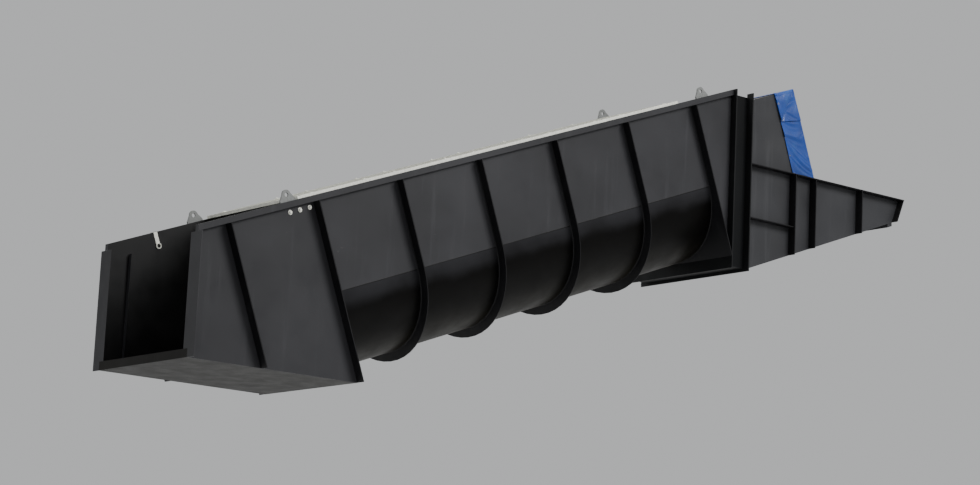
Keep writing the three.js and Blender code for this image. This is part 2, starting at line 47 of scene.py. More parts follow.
INCLINE = math.radians(21)
COS, SIN = math.cos(INCLINE), math.sin(INCLINE)
AXIS_START = Vector((-0.469, 0.0, 0.654))
SLOPE = Matrix.Translation(AXIS_START) @ Matrix.Rotation(-INCLINE, 4, "Y")

RIB_PITCH = 1.5
RIB_THICK = 0.015
RIB_TOP = 1.281
OUTER_HALF = 1.105
PLATE = 0.01
WALL_TOP = 1.365

SIDES = (-1, 1)


def slope(u, y, h):
    """A point of the slope frame in the part's frame."""
    return SLOPE @ Vector((u, y, h))


def facing(direction, at):
    """A place with its Z axis along a direction."""
    turn = Vector(direction).to_track_quat("Z", "Y").to_matrix().to_4x4()
    return Matrix.Translation(at) @ turn


def put_in_scene(obj):
    bpy.context.scene.collection.objects.link(obj)
    return obj


# Camera: the photograph's station point and direction, closed in on the unit

CAMERA_AT = Vector((-19.9285, -30.0085, -4.8042))
CAMERA_UP = Vector((-0.0927, -0.0399, 0.9949))
CAMERA_AIM = Vector((0.62019, 0.76173, 0.18747))
CAMERA_FOCAL_PX = 2640.0
IMAGE_WIDTH_PX = 980.0


def make_camera():
    data = bpy.data.cameras.new("camera")
    data.sensor_width = 36.0
    data.lens = data.sensor_width * CAMERA_FOCAL_PX / IMAGE_WIDTH_PX
    data.clip_start, data.clip_end = 0.5, 400.0
    camera = put_in_scene(bpy.data.objects.new("camera", data))
    back = -CAMERA_AIM.normalized()
    right = CAMERA_UP.cross(back).normalized()
    turn = Matrix((right, back.cross(right), back)).transposed()
    camera.matrix_world = Matrix.Translation(CAMERA_AT) @ turn.to_4x4()
    bpy.context.scene.camera = camera


make_camera()


# Materials

BARE_STEEL = (0.13, 0.127, 0.122)
DRY_DUST = (0.32, 0.3, 0.27)
# Near black painted shade for the walls' faces that look at the water
PAINTED_INSIDE_SHADE = (0.0045, 0.0045, 0.0048)
UNDERSIDE_SHADE = (0.0022, 0.002, 0.0018)
# Painted reflection of the ground on the foot of the half round
PAINTED_GROUND_REFLECTION = (0.016, 0.0145, 0.0105)
UNDERSIDE_RUBBED = (0.13, 0.125, 0.11)
ZINC_DIRT = (0.3, 0.28, 0.24)
OIL_STAIN = (0.02, 0.018, 0.014)
SCREW_DUST = (0.24, 0.22, 0.19)
RUST = (0.16, 0.06, 0.022)
SHEET_DEEP, SHEET_LIGHT = (0.0035, 0.03, 0.2), (0.0055, 0.047, 0.28)
SHEET_TAPES, SHEET_FADED = (0.06, 0.2, 0.55), (0.08, 0.3, 0.62)
FLOOR_TONES = (0.7, 0.7, 0.69), (0.76, 0.76, 0.75)

SPECULAR = "Specular IOR Level"


def shade(colour, factor, lift=0.0):
    """A colour made lighter or darker, with a little grey added."""
    return tuple(min(1.0, c * factor + lift) for c in colour)


class Tree:
    """Short calls for building one material's nodes."""

    def __init__(self, name):
        self.material = bpy.data.materials.new(name)
        self.material.use_nodes = True
        self.nodes = self.material.node_tree.nodes
        self.links = self.material.node_tree.links
        self.shader = self.nodes["Principled BSDF"]
        self.object = self.add("ShaderNodeTexCoord").outputs["Object"]
        self.normal = self.add("ShaderNodeNewGeometry").outputs["Normal"]

    def add(self, kind, **settings):
        node = self.nodes.new(kind)
        for key, value in settings.items():
            setattr(node, key, value)
        return node

    def set(self, socket, value):
        """Links a socket to another, or gives it a fixed value."""
        if isinstance(value, bpy.types.NodeSocket):
            self.links.new(value, socket)
        else:
            socket.default_value = value

    def scaled(self, scale):
        node = self.add("ShaderNodeMapping")
        self.set(node.inputs["Vector"], self.object)
        node.inputs["Scale"].default_value = scale
        return node.outputs["Vector"]

    def noise(self, scale, detail=3.0, roughness=0.55, stretch=(1, 1, 1)):
        """Noise of about so many blotches a metre, drawn out along an axis of low stretch."""
        node = self.add("ShaderNodeTexNoise")
        self.set(node.inputs["Vector"], self.scaled(stretch))
        node.inputs["Scale"].default_value = scale
        node.inputs["Detail"].default_value = detail
        node.inputs["Roughness"].default_value = roughness
        return node.outputs["Fac"]

    def ramp(self, value, low, high, to_low=0.0, to_high=1.0):
        """Takes low..high smoothly to to_low..to_high, and stays level outside it."""
        node = self.add("ShaderNodeMapRange", interpolation_type="SMOOTHSTEP")
        self.set(node.inputs["Value"], value)
        node.inputs["From Min"].default_value = low
        node.inputs["From Max"].default_value = high
        node.inputs["To Min"].default_value = to_low
        node.inputs["To Max"].default_value = to_high
        return node.outputs["Result"]

    def math(self, operation, a, b=0.0):
        node = self.add("ShaderNodeMath", operation=operation)
        self.set(node.inputs[0], a)
        self.set(node.inputs[1], b)
        return node.outputs["Value"]

    def mix(self, share, a, b):
        """Colour a where the share is nought, colour b where it is one."""
        node = self.add("ShaderNodeMix", data_type="RGBA")
        self.set(node.inputs["Factor"], share)
        for socket, value in ((node.inputs[6], a), (node.inputs[7], b)):
            self.set(socket, (*value, 1.0) if isinstance(value, tuple) else value)
        return node.outputs[2]

    def parts(self, vector):
        node = self.add("ShaderNodeSeparateXYZ")
        self.set(node.inputs["Vector"], vector)
        return node.outputs

    def facing_up(self):
        return self.parts(self.normal)["Z"]

    def finish(self, base, roughness, layers=(), fixed=None):
        """Wires up the shader and gives the material.
        Layers of bump are (height, depth in metres, strength); fixed sockets have one value."""
        self.set(self.shader.inputs["Base Color"], base)
        self.set(self.shader.inputs["Roughness"], roughness)
        for socket, value in (fixed or {}).items():
            self.shader.inputs[socket].default_value = value
        last = None
        for height, depth, strength in layers:
            node = self.add("ShaderNodeBump")
            node.inputs["Distance"].default_value = depth
            node.inputs["Strength"].default_value = strength
            self.set(node.inputs["Height"], height)
            if last is not None:
                self.set(node.inputs["Normal"], last)
            last = node.outputs["Normal"]
        if last is not None:
            self.set(self.shader.inputs["Normal"], last)
        return self.material

    def plate_bump(self, buckle):
        """Slight buckles of rolled plate, and the fine grain of sprayed paint."""
        return [(self.noise(1.3, 1.0), 0.02, buckle), (self.noise(420.0, 2.0), 0.0006, 0.35)]


def inside_shade_share(tree):
    """One on the faces of the side walls that look inward, at the water, where painted shade goes,
    and nought elsewhere.
    """
    across = tree.math("ABSOLUTE", tree.parts(tree.object)["Y"])
    sideways = tree.math("ABSOLUTE", tree.parts(tree.normal)["Y"])
    near_inner = tree.math("LESS_THAN", across, OUTER_HALF - PLATE / 2)
    return tree.math("MULTIPLY", near_inner, tree.math("GREATER_THAN", sideways, 0.7))


def painted(name, colour, rough=(0.36, 0.52), dust=0.35, scuffs=0.25, buckle=0.5,
            specular=0.35, shade_inside=False):
    """Sprayed steel plate: colour that drifts, settled dust, water marks, scuffs and buckles.
    Where the inner faces are shaded, the faces that look at the water get near black painted shade
    instead."""
    tree = Tree(name)
    drift = tree.ramp(tree.noise(0.55, 2.0), 0.3, 0.7)
    base = tree.mix(drift, shade(colour, 0.86), shade(colour, 1.18, 0.001))
    runs = tree.ramp(tree.noise(1.0, 4.0, 0.6, (7.0, 7.0, 0.55)), 0.54, 0.78, 0.0, 0.35)
    base = tree.mix(runs, base, shade(colour, 1.6, 0.014))
    settled = tree.ramp(tree.facing_up(), 0.2, 0.9, 0.0, dust)
    patchy = tree.ramp(tree.noise(5.0, 5.0, 0.65), 0.35, 0.7, 0.45, 1.0)
    base = tree.mix(tree.math("MULTIPLY", settled, patchy), base, DRY_DUST)
    scratch = tree.noise(26.0, 6.0, 0.7, (0.35, 1.0, 1.0))
    marks = tree.ramp(tree.noise(2.3, 3.0, 0.6), 0.56, 0.74)
    rubbed = tree.math("MULTIPLY", tree.ramp(scratch, 0.62, 0.7, 0.0, scuffs), marks)
    base = tree.mix(rubbed, base, BARE_STEEL)
    if shade_inside:
        # Painted shade: the walls' faces that look at the water are made near black, as if in
        # shadow.
        base = tree.mix(inside_shade_share(tree), base, PAINTED_INSIDE_SHADE)
    gloss = tree.ramp(tree.noise(3.1, 5.0, 0.6), 0.25, 0.75, *rough)
    roughness = tree.math("ADD", gloss, tree.math("MULTIPLY", rubbed, 0.4))
    return tree.finish(base, roughness, tree.plate_bump(buckle), {SPECULAR: specular})


def curved_underside(name, wall):
    """The half round: walls' paint on top, painted shade as it turns under, painted ground
    reflection at the foot.
    """
    tree = Tree(name)
    lean = tree.add("ShaderNodeVectorMath", operation="DOT_PRODUCT")
    tree.set(lean.inputs[0], tree.normal)
    lean.inputs[1].default_value = (-SIN, 0.0, COS)
    lean = lean.outputs["Value"]
    uneven = tree.ramp(tree.noise(1.1, 3.0), 0.25, 0.75, -0.05, 0.05)
    turned_under = tree.math("ADD", lean, uneven)
    # Painted shade: the walls' paint darkens to near black as the half round turns under, away from
    # the light.
    base = tree.mix(tree.ramp(turned_under, -0.27, 0.0), UNDERSIDE_SHADE, wall)
    # Painted reflection: a lighter brownish band, the ground reflected along the foot of the half
    # round.
    ground_reflection = tree.ramp(turned_under, -1.0, -0.6, 0.7, 0.0)
    patchy = tree.ramp(tree.noise(3.0, 5.0, 0.6, (0.5, 1, 1)), 0.3, 0.7, 0.6, 1.0)
    base = tree.mix(tree.math("MULTIPLY", ground_reflection, patchy), base, PAINTED_GROUND_REFLECTION)
    rubbed = tree.ramp(lean, -1.0, -0.975, 1.0, 0.0)
    streaks = tree.ramp(tree.noise(9.0, 4.0, 0.6, (0.12, 1, 1)), 0.35, 0.6)
    base = tree.mix(tree.math("MULTIPLY", rubbed, streaks), base, UNDERSIDE_RUBBED)
    roughness = tree.ramp(tree.noise(3.1, 5.0, 0.6), 0.25, 0.75, 0.34, 0.48)
    return tree.finish(base, roughness, tree.plate_bump(0.6), {SPECULAR: 0.08})


def galvanised(name, colour, bloomed=0.6):
    """Hot-dip zinc: dull spangle, white bloom and a few dark runs."""
    tree = Tree(name)
    cells = tree.add("ShaderNodeTexVoronoi")
    tree.set(cells.inputs["Vector"], tree.object)
    cells.inputs["Scale"].default_value = 70.0
    spangle = tree.add("ShaderNodeSeparateColor")
    tree.set(spangle.inputs["Color"], cells.outputs["Color"])
    grain = tree.ramp(spangle.outputs["Red"], 0.0, 1.0)
    base = tree.mix(grain, shade(colour, 0.88), shade(colour, 1.06))
    bloom = tree.ramp(tree.noise(4.0, 5.0, 0.6), 0.5, 0.72, 0.0, bloomed)
    base = tree.mix(bloom, base, shade(colour, 1.15, 0.02))
    dirt = tree.ramp(tree.noise(9.0, 6.0, 0.7, (1.0, 1.0, 0.4)), 0.6, 0.8, 0.0, 0.35)
    base = tree.mix(dirt, base, ZINC_DIRT)
    bump = [(tree.noise(180.0, 3.0), 0.0008, 0.4)]
    return tree.finish(base, tree.ramp(grain, 0.0, 1.0, 0.38, 0.58), bump, {"Metallic": 0.35})


def enamel_casting(name, colour):
    """Machine enamel over the grain of a sand casting, with oil stains."""
    tree = Tree(name)
    tone = tree.ramp(tree.noise(9.0, 3.0), 0.3, 0.7)
    base = tree.mix(tone, shade(colour, 0.8), shade(colour, 1.3))
    oil = tree.ramp(tree.noise(5.0, 5.0, 0.7, (1, 1, 0.5)), 0.56, 0.7, 0.0, 0.7)
    base = tree.mix(oil, base, OIL_STAIN)
    bump = [(tree.noise(220.0, 4.0, 0.7), 0.0015, 0.5)]
    return tree.finish(base, tree.ramp(oil, 0.0, 0.7, 0.5, 0.28), bump)


def screw_coating(name, colour):
    """Thick two-pack coating on the screw, dusty on what faces up, with spots of rust."""
    tree = Tree(name)
    tone = tree.ramp(tree.noise(1.6, 3.0), 0.3, 0.7)
    base = tree.mix(tone, shade(colour, 0.75), shade(colour, 1.35))
    base = tree.mix(tree.ramp(tree.facing_up(), 0.0, 0.9, 0.0, 0.22), base, SCREW_DUST)
    base = tree.mix(tree.ramp(tree.noise(7.0, 6.0, 0.7), 0.68, 0.76, 0.0, 0.8), base, RUST)
    roughness = tree.ramp(tree.noise(6.0, 4.0), 0.3, 0.7, 0.4, 0.62)
    bump = [(tree.noise(60.0, 3.0), 0.002, 0.35), (tree.noise(300.0, 2.0), 0.0008, 0.4)]
    return tree.finish(base, roughness, bump)


def woven_sheet(name):
    """Blue polyethylene tarpaulin: flat tapes woven at right angles under a shiny film."""
    tree = Tree(name)
    weave = []
    for direction in ("X", "Z"):
        wave = tree.add("ShaderNodeTexWave", bands_direction=direction)
        tree.set(wave.inputs["Vector"], tree.object)
        wave.inputs["Scale"].default_value = 95.0
        wave.inputs["Distortion"].default_value = 0.4
        weave.append(wave.outputs["Fac"])
    tapes = tree.math("MAXIMUM", *weave)
    tone = tree.ramp(tree.noise(2.2, 3.0), 0.32, 0.68)
    base = tree.mix(tone, SHEET_DEEP, SHEET_LIGHT)
    base = tree.mix(tree.ramp(tapes, 0.3, 0.95, 0.0, 0.1), base, SHEET_TAPES)
    faded = tree.ramp(tree.noise(5.0, 4.0, 0.6, (1, 1, 0.5)), 0.5, 0.75, 0.0, 0.12)
    base = tree.mix(faded, base, SHEET_FADED)
    bump = [(tree.noise(11.0, 3.0, 0.5), 0.006, 0.35), (tapes, 0.0007, 0.5)]
    film = {SPECULAR: 0.3, "Coat Weight": 0.35, "Coat Roughness": 0.14}
    return tree.finish(base, tree.ramp(tapes, 0.0, 1.0, 0.42, 0.34), bump, film)


def plain_floor(name):
    tree = Tree(name)
    return tree.finish(tree.mix(tree.ramp(tree.noise(0.2, 3.0), 0.2, 0.8), *FLOOR_TONES), 0.9)


WALL_COLOUR = (0.026, 0.026, 0.029)
WALL = painted("wall_paint", WALL_COLOUR, specular=0.27, shade_inside=True)
BOTTOM = curved_underside("underside_paint", WALL_COLOUR)
# The ribs' near black is partly their own darker paint and partly painted shade on the faces they
# turn away from the light.
RIB = painted("rib_paint", (0.005, 0.005, 0.006), rough=(0.42, 0.6), dust=0.25, scuffs=0.12,
              buckle=0.2, specular=0.2)
BOX = painted("box_paint", (0.029, 0.0295, 0.0325), dust=0.22)
FLANGE = painted("flange_paint", (0.005, 0.0055, 0.006), rough=(0.42, 0.6), dust=0.25,
                 scuffs=0.15, buckle=0.2, specular=0.2)
SOLE = painted("sole_paint", (0.0085, 0.0078, 0.0066), rough=(0.4, 0.52), buckle=0.6,
               specular=0.12)
THROAT = painted("throat_paint", (0.004, 0.0045, 0.005), rough=(0.45, 0.6), dust=0.2,
                 buckle=0.3, specular=0.12)
SCREW = screw_coating("screw_paint", (0.022, 0.023, 0.025))
BRIGHT_ZINC = galvanised("bright_zinc", (0.86, 0.86, 0.78), bloomed=0.8)
DULL_ZINC = galvanised("dull_zinc", (0.2, 0.205, 0.2))
ENAMEL = enamel_casting("bearing_paint", (0.045, 0.07, 0.09))
TARP = woven_sheet("tarpaulin")

# The finish of each of the record's slots, and the nodes that look different from their slot's

FINISHES = {
    "wall_paint": WALL, "rib_paint": RIB, "box_paint": BOX, "screw_paint": SCREW,
    "galvanised": BRIGHT_ZINC, "bearing_paint": ENAMEL, "tarpaulin": TARP,
}
SPECIAL = {
    "trough_bottom": BOTTOM, "headwall_flange": FLANGE, "inlet_flange": FLANGE, "throat": THROAT,
    "outlet_sole": SOLE, "lug_lower_left": DULL_ZINC, "lug_lower_right": DULL_ZINC,
    "lug_upper_left": DULL_ZINC, "lug_upper_right": DULL_ZINC,
}
SHARP_ANGLE = math.radians(30)
WELD_REACH = 0.0001


def wear_finish(obj, material):
    obj.data.materials.clear()
    obj.data.materials.append(material)


def round_shading(obj):
    """Shades a carried-over node smooth across its curved faces, with its corners kept sharp."""
    mesh = obj.data
    if mesh.has_custom_normals:
        mesh.attributes.remove(mesh.attributes["custom_normal"])
    mesh.polygons.foreach_set("use_smooth", [True] * len(mesh.polygons))
    obj.modifiers.new("weld", "WELD").merge_threshold = WELD_REACH
    obj.modifiers.new("split", "EDGE_SPLIT").split_angle = SHARP_ANGLE


for entry in frame["record"]["subparts"]:
    node = nodes[entry["node"]]
    wear_finish(node, SPECIAL.get(entry["node"], FINISHES[entry["material_slot"]]))
    round_shading(node)


# Pieces

def mesh_object(name, points, faces):
    mesh = bpy.data.meshes.new(name)
    mesh.from_pydata([tuple(p) for p in points], [], faces)
    mesh.update()
    return put_in_scene(bpy.data.objects.new(name, mesh))


def new_piece(name, points, faces, material):
    """A piece on the trough, with its finish."""
    piece = mesh_object(name, points, faces)
    wear_finish(piece, material)
    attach(piece, "trough")
    return piece


def band(rings, sides, closed=False):
    """Faces from each ring of points to the next, and from the last to the first if closed."""
    faces = []
    for ring in range(rings if closed else rings - 1):
        here, there = ring * sides, (ring + 1) % rings * sides
        for i in range(sides):
            beside = (i + 1) % sides
            faces.append((here + i, here + beside, there + beside, there + i))
    return faces


def turned(rings, sides, place, turn=0.0):
    """The points of rings of (radius, height) round the Z axis of a place."""
    points = []
    for radius, height in rings:
        for i in range(sides):
            angle = math.tau * (i + turn) / sides
            at = Vector((radius * math.cos(angle), radius * math.sin(angle), height))
            points.append(place @ at)
    return points


class Shape:
    """Points and faces gathered for one piece."""

    def __init__(self):
        self.points = []
        self.faces = []

    def put(self, points, faces):
        start = len(self.points)
        self.points += points
        self.faces += [tuple(start + i for i in face) for face in faces]

    def block(self, low, high, place=Matrix.Identity(4)):
        corners = [
            place @ Vector((x, y, z))
            for x in (low[0], high[0]) for y in (low[1], high[1]) for z in (low[2], high[2])
        ]
        self.put(corners, [
            (0, 1, 3, 2), (4, 6, 7, 5), (0, 4, 5, 1), (2, 3, 7, 6), (0, 2, 6, 4), (1, 5, 7, 3),
        ])

    def barrel(self, rings, sides, place):
        """A solid turned from (radius, height), closed at both ends."""
        last = (len(rings) - 1) * sides
        ends = tuple(reversed(range(sides))), tuple(range(last, last + sides))
        faces = [ends[0], *band(len(rings), sides), ends[1]]
        self.put(turned(rings, sides, place, 0.5), faces)

    def tube(self, section, sides, place):
        """A section of (radius, height) carried round and closed on itself."""
        self.put(turned(section, sides, place), band(len(section), sides, closed=True))

    def bolt(self, place, across):
        """A bolt head or nut with a chamfered top, on its washer."""
        washer = across * 0.18
        self.barrel([(across * 1.25, 0.0), (across * 1.25, washer)], 12, place)
        rim = across * 1.1547 / 2 * 1.35
        head = [(rim, washer), (rim, washer + across * 0.72), (rim * 0.82, washer + across * 0.85)]
        self.barrel(head, 6, place)

    def piece(self, name, material, slot):
        return new_piece(name, self.points, self.faces, material)


# Gratings' rods and clips

COVER_COUNT = 5
COVERS_FROM = 1.25
COVER_TOP = WALL_TOP + 0.0403
ROD_ROWS = 22
ROD_HALF = 0.003
ROD_DEPTHS = (0.008, 0.0015)
ROD_INSET = 0.002
CLIP_SHARES = (0.18, 0.82)
CLIP_INSET = 0.05
CLIP_HALF = (0.02, 0.035)
CLIP_LEVELS = (-0.001, 0.004)
CLIP_NUT = 0.012


def build_grating_rods():
    """The rods that run through the bars of each grating, from its first bar to its last."""
    shape = Shape()
    low, high = (COVER_TOP - depth for depth in ROD_DEPTHS)
    for number in range(COVER_COUNT):
        start = COVERS_FROM + ROD_INSET + RIB_PITCH * number
        end = start + RIB_PITCH - 2 * ROD_INSET
        for i in range(1, ROD_ROWS):
            y = -OUTER_HALF + 2 * OUTER_HALF * i / ROD_ROWS
            shape.block((start, y - ROD_HALF, low), (end, y + ROD_HALF, high), SLOPE)
    shape.piece("grating_rods", BRIGHT_ZINC, "galvanised")


def build_grating_clips():
    """Saddle clips that hold each grating down on the walls' top rails."""
    shape = Shape()
    low, high = (COVER_TOP + level for level in CLIP_LEVELS)
    along, across = CLIP_HALF
    for number in range(COVER_COUNT):
        for share in CLIP_SHARES:
            u = COVERS_FROM + RIB_PITCH * (number + share)
            for side in SIDES:
                y = side * (OUTER_HALF - CLIP_INSET)
                shape.block((u - along, y - across, low), (u + along, y + across, high), SLOPE)
                shape.bolt(SLOPE @ Matrix.Translation((u, y, high)), CLIP_NUT)
    shape.piece("grating_clips", BRIGHT_ZINC, "galvanised")


# Bolts by the lower lugs, in the lower bearing's feet and round the upper bearing's flange

LUG_BOLTS_AT = (1.07, 1.24, 1.41)
LUG_BOLT_HEIGHT = 1.215
LUG_BOLT = 0.027
FOOT_BOLTS_AT = (1.01, 1.13)
FOOT_BOLT_SIDE = 0.235
FOOT_TOP = -0.1197
BEARING_BOLT = 0.036
UPPER_BEARING_FACE = 10.2897
FLANGE_BOLT_CIRCLE = 0.285
FLANGE_BOLT_COUNT = 8


def build_bolts():
    lugs = Shape()
    for u in LUG_BOLTS_AT:
        for side in SIDES:
            at = slope(u, side * OUTER_HALF, LUG_BOLT_HEIGHT)
            lugs.bolt(facing((0, side, 0), at), LUG_BOLT)
    lugs.piece("lug_bolts", BRIGHT_ZINC, "galvanised")
    bearing = Shape()
    for u in FOOT_BOLTS_AT:
        for side in SIDES:
            foot = Matrix.Translation((u, side * FOOT_BOLT_SIDE, FOOT_TOP))
            bearing.bolt(SLOPE @ foot, BEARING_BOLT)
    for i in range(FLANGE_BOLT_COUNT):
        angle = math.tau * (i + 0.5) / FLANGE_BOLT_COUNT
        y, h = (FLANGE_BOLT_CIRCLE * turn for turn in (math.cos(angle), math.sin(angle)))
        bearing.bolt(facing((-COS, 0, -SIN), slope(UPPER_BEARING_FACE, y, h)), BEARING_BOLT)
    bearing.piece("bearing_bolts", DULL_ZINC, "galvanised")


# Welds: fillets round the ribs, and flat beads along the seams between wall and half round

SKIN = 0.0002
FILLET_LEG = 0.011
FILLET_SAG = 0.62
FILLET_TOP = RIB_TOP - 0.002
FILLET_RISE = (0.3, 0.6, 0.9, FILLET_TOP)
BULKHEAD_HEIGHTS = (FILLET_TOP, 0.6, 0.0, -0.6, -1.05)
HALF_ROUND_STEPS = 24
SEAM_SECTION = ((-0.008, 0.0), (-0.004, 0.0025), (0.004, 0.0025), (0.008, 0.0))
SEAM_GAP = 0.02
SEAM_FACES = [(0, 1, 5, 4), (1, 2, 6, 5), (2, 3, 7, 6), (3, 0, 4, 7), (0, 3, 2, 1), (4, 5, 6, 7)]
FIRST_ROUND_RIB, LAST_RIB = 3, 7


def half_round(radius):
    turns = [math.pi * (1 + i / HALF_ROUND_STEPS) for i in range(HALF_ROUND_STEPS + 1)]
    return [(radius * math.cos(turn), radius * math.sin(turn)) for turn in turns]


def add_fillet(shape, line, outward, face, direction):
    """A fillet weld along a line of (y, h) points, in the corner of the wall and a rib's face."""
    mid = FILLET_LEG * FILLET_SAG
    section = [
        (face, 0.0), (face + direction * FILLET_LEG, 0.0), (face + direction * mid, mid),
        (face, FILLET_LEG),
    ]
    points = [
        slope(u, y + ny * out, h + nh * out)
        for (y, h), (ny, nh) in zip(line, outward) for u, out in section
    ]
    count = len(section)
    ends = [tuple(range(count)), tuple(reversed(range(len(points) - count, len(points))))]
    shape.put(points, band(len(line), count) + ends)


def build_welds():
    """The welds of ribs 3 to 7 on the trough, and the long seams under its walls."""
    shape = Shape()
    out = OUTER_HALF + SKIN
    bottom = half_round(out)
    line = [(-out, h) for h in reversed(FILLET_RISE)] + bottom + [(out, h) for h in FILLET_RISE]
    upright = len(FILLET_RISE)
    outward = [(-1, 0)] * upright + [(y / out, h / out) for y, h in bottom] + [(1, 0)] * upright
    offset = RIB_THICK / 2 + SKIN
    for number in range(FIRST_ROUND_RIB, LAST_RIB + 1):
        centre = RIB_PITCH * (number - 1)
        add_fillet(shape, line, outward, centre - offset, -1)
        if number < LAST_RIB:
            add_fillet(shape, line, outward, centre + offset, 1)
    for side in SIDES:
        down = [(side * out, h) for h in BULKHEAD_HEIGHTS]
        bulkhead = RIB_PITCH * (LAST_RIB - 1) + offset
        add_fillet(shape, down, [(side, 0)] * len(down), bulkhead, 1)
        for bay in range(1, LAST_RIB - 1):
            ends = (RIB_PITCH * bay + SEAM_GAP, RIB_PITCH * (bay + 1) - SEAM_GAP)
            seam = [slope(u, side * (out + proud), h) for u in ends for h, proud in SEAM_SECTION]
            shape.put(seam, SEAM_FACES)
    shape.piece("rib_welds", RIB, "rib_paint")


# The bright strap over the left wall, with a ring on it

STRAP_AT = 0.33
STRAP_HALF = 0.03
STRAP_DROP = 0.17
STRAP_LEVELS = (WALL_TOP + 0.001, WALL_TOP + 0.007)
STRAP_OVERHANG = 0.067
STRAP_DEPTHS = (0.007, 0.001)
RING_AWAY, RING_DROP = 0.012, 0.2
RING_RADIUS, RING_THICK = 0.036, 0.008
RING_TURNS, RING_SIDES = 28, 10


def build_wall_eye():
    """The bright strap with a ring that hangs over the left wall, a little up from the mouth."""
    shape = Shape()
    inner = OUTER_HALF - PLATE
    near, far = STRAP_AT - STRAP_HALF, STRAP_AT + STRAP_HALF
    front, back = (inner - depth for depth in STRAP_DEPTHS)
    low, high = STRAP_LEVELS
    shape.block((near, front, WALL_TOP - STRAP_DROP), (far, back, high), SLOPE)
    shape.block((near, front, low), (far, OUTER_HALF + STRAP_OVERHANG, high), SLOPE)
    middle = slope(STRAP_AT, inner - RING_AWAY, WALL_TOP - RING_DROP)
    points = []
    for i in range(RING_TURNS):
        a = math.tau * i / RING_TURNS
        for j in range(RING_SIDES):
            b = math.tau * j / RING_SIDES
            reach = RING_RADIUS + RING_THICK * math.cos(b)
            at = (reach * math.cos(a), RING_THICK * math.sin(b), reach * math.sin(a))
            points.append(middle + Vector(at))
    shape.put(points, band(RING_TURNS, RING_SIDES, closed=True))
    shape.piece("wall_eye", BRIGHT_ZINC, "galvanised")


build_grating_rods()
build_grating_clips()
build_bolts()
build_welds()
build_wall_eye()


# Tarpaulin: a flat rectangle folded over the housing's upper end, with the corners folded as on a
# parcel and a tuck across it, and then let sag as cloth. The cloth's rest shape is the flat
# rectangle. Its cut is the end's width and height, the return along the sides and the roof, the
# tuck, and 6 percent more across and 1.5 percent more down for its folds.

HOUSING_TOP = 1.13
HOUSING_HALF = 1.0947
HOUSING_END = 11.359
INLET_RIM = 4.376
TARP_RETURN = 0.459
HEM_LEVEL = 4.386
TUCK_AT = 0.47
TUCK_DEPTH = 0.05
TARP_CUT = (3.294, 2.083)
LAYER = 0.006
CLEAR_OF_STEEL = 0.01
FOLD_PITCH = 0.19
FOLD_DEPTH, UNEVEN_DEPTH = 0.005, 0.003
COLUMNS, ROWS = 156, 104
EYELET_COLUMNS, EYELET_ROWS = 15, 17

SAG_FRAMES = 45
CLOTH = {
    "quality": 10, "mass": 0.12,
    "tension_stiffness": 30, "compression_stiffness": 30,
    "shear_stiffness": 8, "bending_stiffness": 0.15,
    "tension_damping": 8, "compression_damping": 8, "shear_damping": 8, "bending_damping": 1.0,
    "air_damping": 2.0, "vertex_group_mass": "eyelets",
}
CLOTH_CONTACT = {
    "collision_quality": 3, "distance_min": 0.003,
    "use_self_collision": True, "self_distance_min": 0.003,
}

# What the cloth can't go through while it sags: the housing, a little larger than it is, in the
# slope frame, and the rim of the inlet channel on both sides, upright

STOP_SKIN = 0.002
HOUSING_STOP = (
    (9.4, -HOUSING_HALF - STOP_SKIN, -0.8),
    (HOUSING_END + STOP_SKIN, HOUSING_HALF + STOP_SKIN, HOUSING_TOP + STOP_SKIN),
)
RIM_SPANS = ((1.0955, 1.225), (-1.225, -1.0955))
RIM_FROM, RIM_TO = 8.7, 12.3
RIM_LEVELS = (4.0, INLET_RIM + 0.0005)

HEM_CELLS = 2
HEM_HALF_THICK = 0.0025
EYELET_SECTION = [(0.009, -0.004), (0.015, -0.004), (0.015, 0.004), (0.009, 0.004)]
EYELET_SIDES = 14


def hem_height(u):
    return (HEM_LEVEL - AXIS_START.z - u * SIN) / COS


TARP_FALL = HOUSING_TOP - hem_height(HOUSING_END)
TARP_ACROSS = 2 * (HOUSING_HALF + TARP_RETURN)
TARP_DOWN = TARP_RETURN + TARP_FALL + 2 * TUCK_DEPTH


def tucked(depth):
    """How far below the roof a point of the cloth hangs, and how far out its layer lies."""
    tuck_end = TUCK_AT + TUCK_DEPTH
    if depth < tuck_end:
        return depth, 2 * LAYER * min(1.0, depth / TUCK_AT)
    if depth < tuck_end + TUCK_DEPTH:
        return 2 * tuck_end - depth, LAYER
    return depth - 2 * TUCK_DEPTH, 0.0


def folded(across, down):
    """Where a point of the flat cloth lies in the slope frame, how far out its layer is, and
    which way it faces."""
    side = 1.0 if across > 0 else -1.0
    past = abs(across) - HOUSING_HALF
    roof = TARP_RETURN - down
    sideways = Vector((0, side, 0))
    if past <= 0 and roof >= 0:
        return Vector((HOUSING_END - roof, across, HOUSING_TOP)), 0.0, Vector((0, 0, 1))
    drop, layer = tucked(max(0.0, -roof))
    if past <= 0:
        return Vector((HOUSING_END, across, HOUSING_TOP - drop)), layer, Vector((1, 0, 0))
    if roof <= 0:
        u = HOUSING_END - past
        share = (HOUSING_TOP - hem_height(u)) / TARP_FALL
        return Vector((u, side * HOUSING_HALF, HOUSING_TOP - drop * share)), layer, sideways
    near, deep = max(past, roof), min(past, roof)
    at = Vector((HOUSING_END - near, side * HOUSING_HALF, HOUSING_TOP - deep))
    return at, (2 if roof < past else 3) * LAYER, sideways


def on_an_eyelet(i, j):
    along_end = j in (0, ROWS - 1) and (i % EYELET_COLUMNS == 0 or i == COLUMNS - 1)
    return along_end or (i in (0, COLUMNS - 1) and j % EYELET_ROWS == 0)


